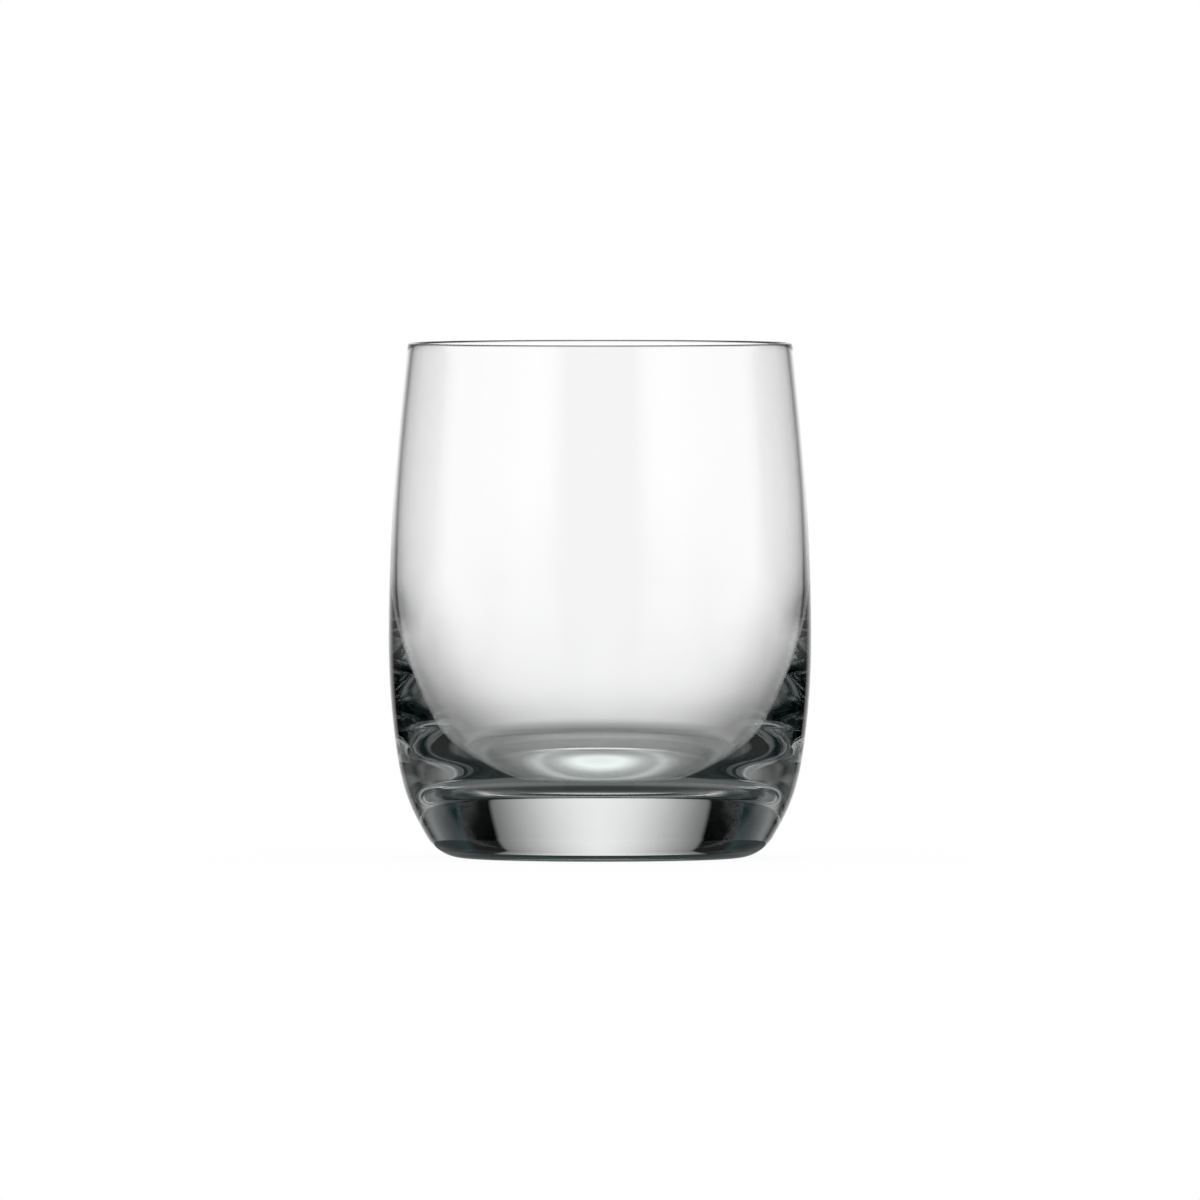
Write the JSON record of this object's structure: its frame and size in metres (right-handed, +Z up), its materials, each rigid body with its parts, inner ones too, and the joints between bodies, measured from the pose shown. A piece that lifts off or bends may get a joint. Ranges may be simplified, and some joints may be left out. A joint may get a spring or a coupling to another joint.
{
  "type": "whiskey tumbler",
  "caption": "Barrel-sided clear glass tumbler for whiskey, with a thin rounded rim, a round-cornered bowl and a thick solid base on a small flat foot.",
  "frame": {"origin": "centre of the foot, on the plane that the tumbler stands on", "axes": "+Z up through the mouth, on the tumbler's axis; X and Y are any two directions across it"},
  "size_m": [0.0756, 0.0756, 0.092],
  "materials": {
    "glass": "clear, fire-polished, faintly grey-green where it is thick"
  },
  "bodies": {
    "root": {"glass_tumbler": "glass"}
  },
  "joints": []
}
